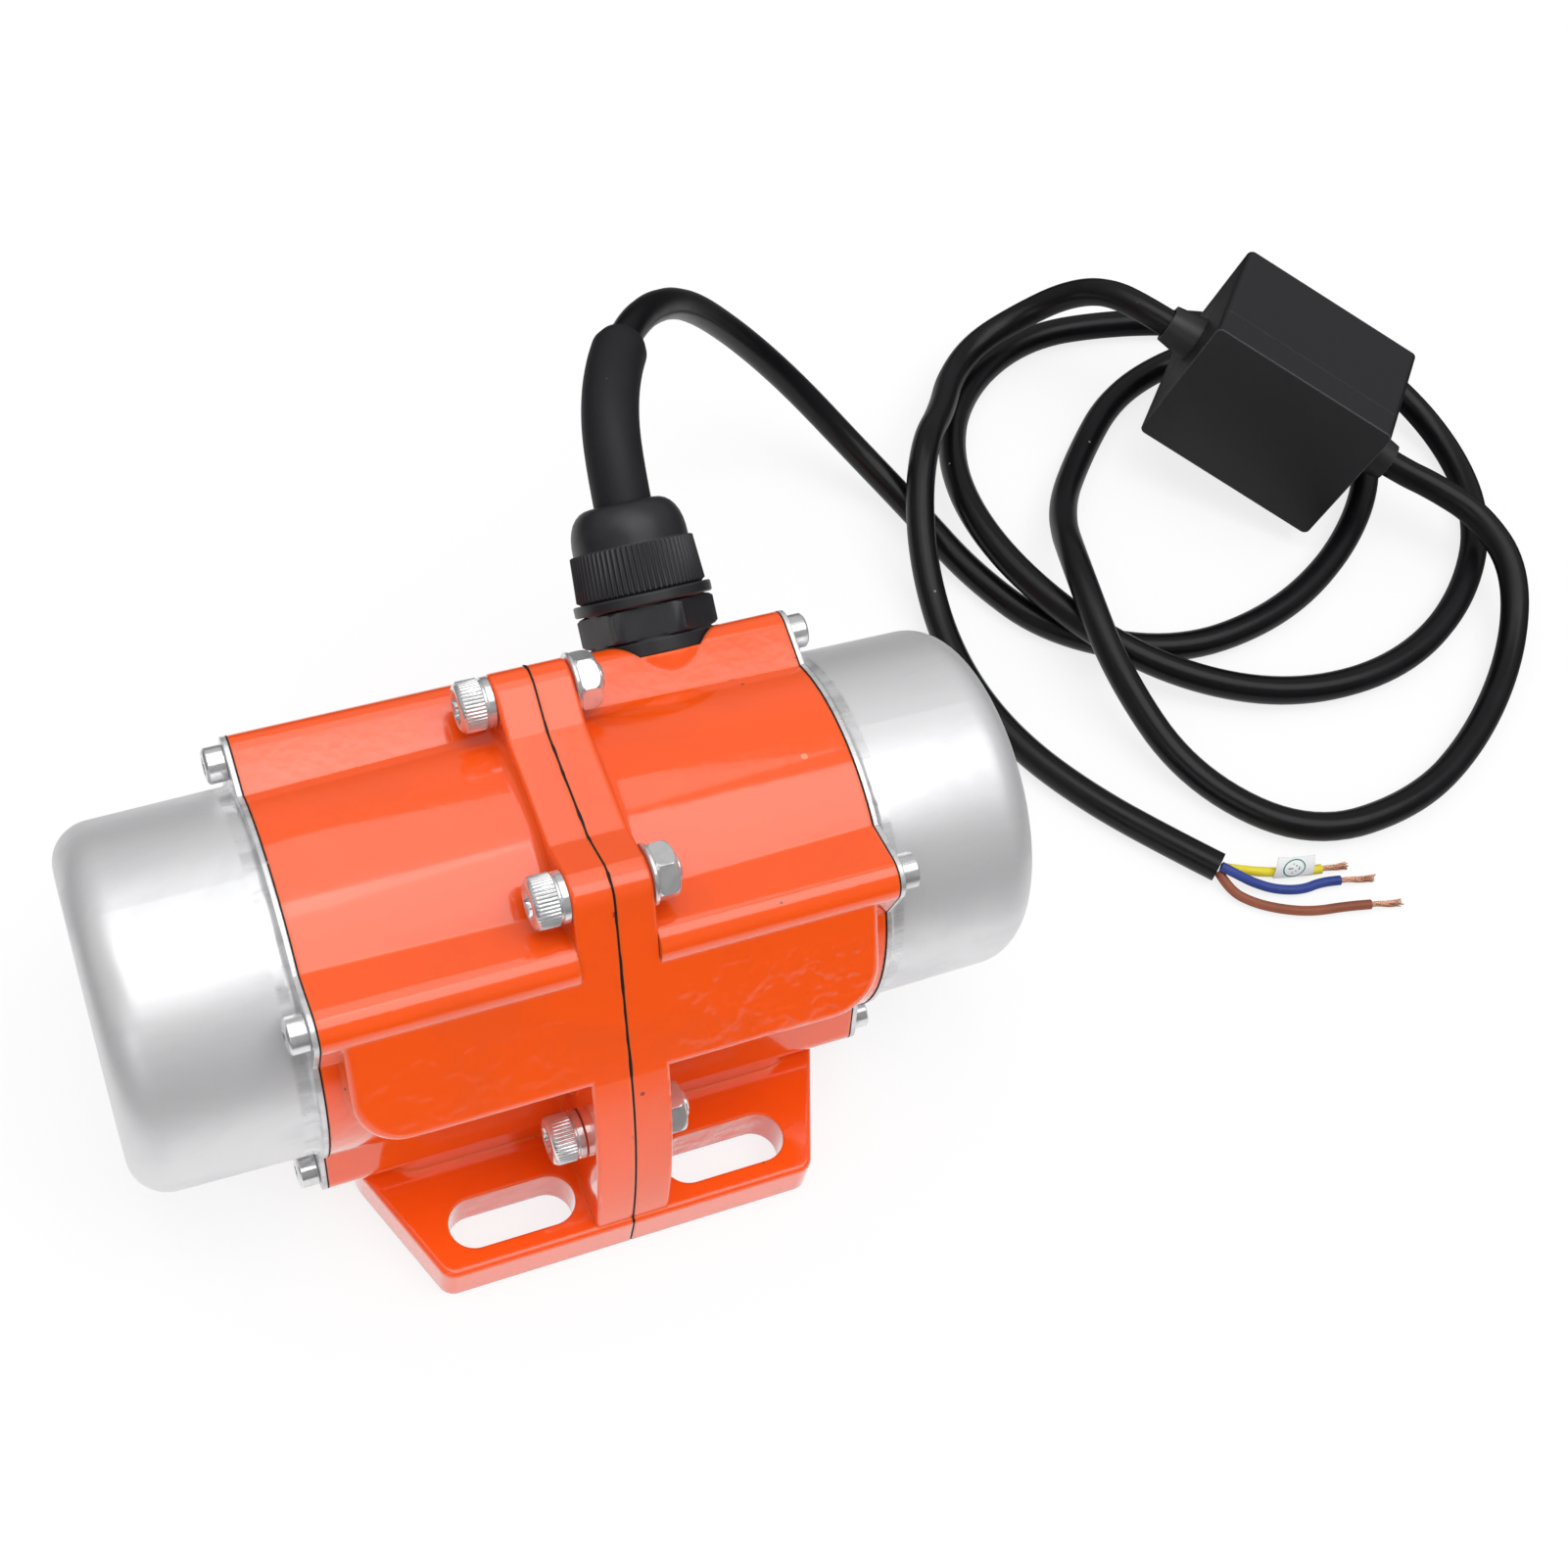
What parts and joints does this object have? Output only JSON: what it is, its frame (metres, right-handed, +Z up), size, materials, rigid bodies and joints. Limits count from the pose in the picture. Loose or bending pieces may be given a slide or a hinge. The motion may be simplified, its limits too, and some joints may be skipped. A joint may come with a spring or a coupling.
{
  "type": "vibration motor",
  "caption": "Foot-mounted vibration motor: ribbed cast housing split across the shaft, slotted feet, drawn end caps over unbalance weights, cable gland and lead with a capacitor box.",
  "frame": {"origin": "on the mounting plane under the middle of the foot, where the joint plane of the two housing halves meets it", "axes": "+X along the shaft towards the half with the cable gland, +Z up from the mounting plane, +Y towards the gland's side"},
  "size_m": [0.3729, 0.2095, 0.0981],
  "materials": {
    "orange_enamel": "glossy enamel on a casting",
    "seal_rubber": "dull black",
    "satin_aluminium": "satin drawn sheet",
    "stainless_steel": "bright stainless",
    "core_steel": "stacked sheet",
    "winding_copper": "varnished copper wire",
    "ring_aluminium": "cast",
    "shaft_steel": "ground",
    "weight_iron": "machined",
    "gland_nylon": "moulded nylon",
    "sleeve_rubber": "matt",
    "lead_pvc": "semi-gloss jacket",
    "box_plastic": "satin moulding",
    "grommet_rubber": "matt",
    "capacitor_can": "drawn can",
    "core_blue": "insulation",
    "core_brown": "insulation",
    "core_earth": "green and yellow insulation",
    "bare_copper": "bare strands",
    "tag_paper": "plain paper"
  },
  "bodies": {
    "frame": {"housing_left": "orange_enamel", "housing_right": "orange_enamel", "housing_seal": "seal_rubber", "cap_gasket_left": "seal_rubber", "cap_gasket_right": "seal_rubber", "end_cap_left": "satin_aluminium", "end_cap_right": "satin_aluminium", "cap_screws_left": "stainless_steel", "cap_screws_right": "stainless_steel", "flange_bolts": "stainless_steel", "flange_nuts": "stainless_steel", "stator_core": "core_steel", "winding_left": "winding_copper", "winding_right": "winding_copper", "bearing_outer_left": "shaft_steel", "bearing_outer_right": "shaft_steel", "circlip_left": "shaft_steel", "circlip_right": "shaft_steel", "gland_body": "gland_nylon", "gland_ring": "gland_nylon", "gland_nut": "gland_nylon", "cable_sleeve": "sleeve_rubber", "motor_cord": "lead_pvc", "supply_cord": "lead_pvc", "box_shell": "box_plastic", "box_lid": "box_plastic", "grommet_left": "grommet_rubber", "grommet_right": "grommet_rubber", "capacitor": "capacitor_can", "core_blue": "core_blue", "core_brown": "core_brown", "core_earth": "core_earth", "copper_blue": "bare_copper", "copper_brown": "bare_copper", "copper_earth": "bare_copper", "earth_tag": "tag_paper"},
    "rotor": {"shaft": "shaft_steel", "rotor_core": "core_steel", "rotor_ring_left": "ring_aluminium", "rotor_ring_right": "ring_aluminium", "bearing_inner_left": "shaft_steel", "bearing_inner_right": "shaft_steel", "spacer_left": "shaft_steel", "spacer_right": "shaft_steel", "fixed_weight_left": "weight_iron", "fixed_weight_right": "weight_iron", "fixed_screw_left": "shaft_steel", "fixed_screw_right": "shaft_steel", "washer_left": "shaft_steel", "washer_right": "shaft_steel", "shaft_nut_left": "shaft_steel", "shaft_nut_right": "shaft_steel"},
    "adjustable_left": {"adjustable_weight_left": "weight_iron", "adjustable_screw_left": "shaft_steel"},
    "adjustable_right": {"adjustable_weight_right": "weight_iron", "adjustable_screw_right": "shaft_steel"}
  },
  "joints": [
    {"name": "shaft_spin", "type": "hinge", "parent": "frame", "child": "rotor", "pos_m": [0, 0, 0.0435], "axis": [1, 0, 0], "continuous": true},
    {"name": "weight_left_turn", "type": "hinge", "parent": "rotor", "child": "adjustable_left", "pos_m": [-0.0735, 0, 0.0435], "axis": [1, 0, 0], "range_deg": [0, 180]},
    {"name": "weight_right_turn", "type": "hinge", "parent": "rotor", "child": "adjustable_right", "pos_m": [0.0735, 0, 0.0435], "axis": [1, 0, 0], "range_deg": [0, 180]}
  ]
}
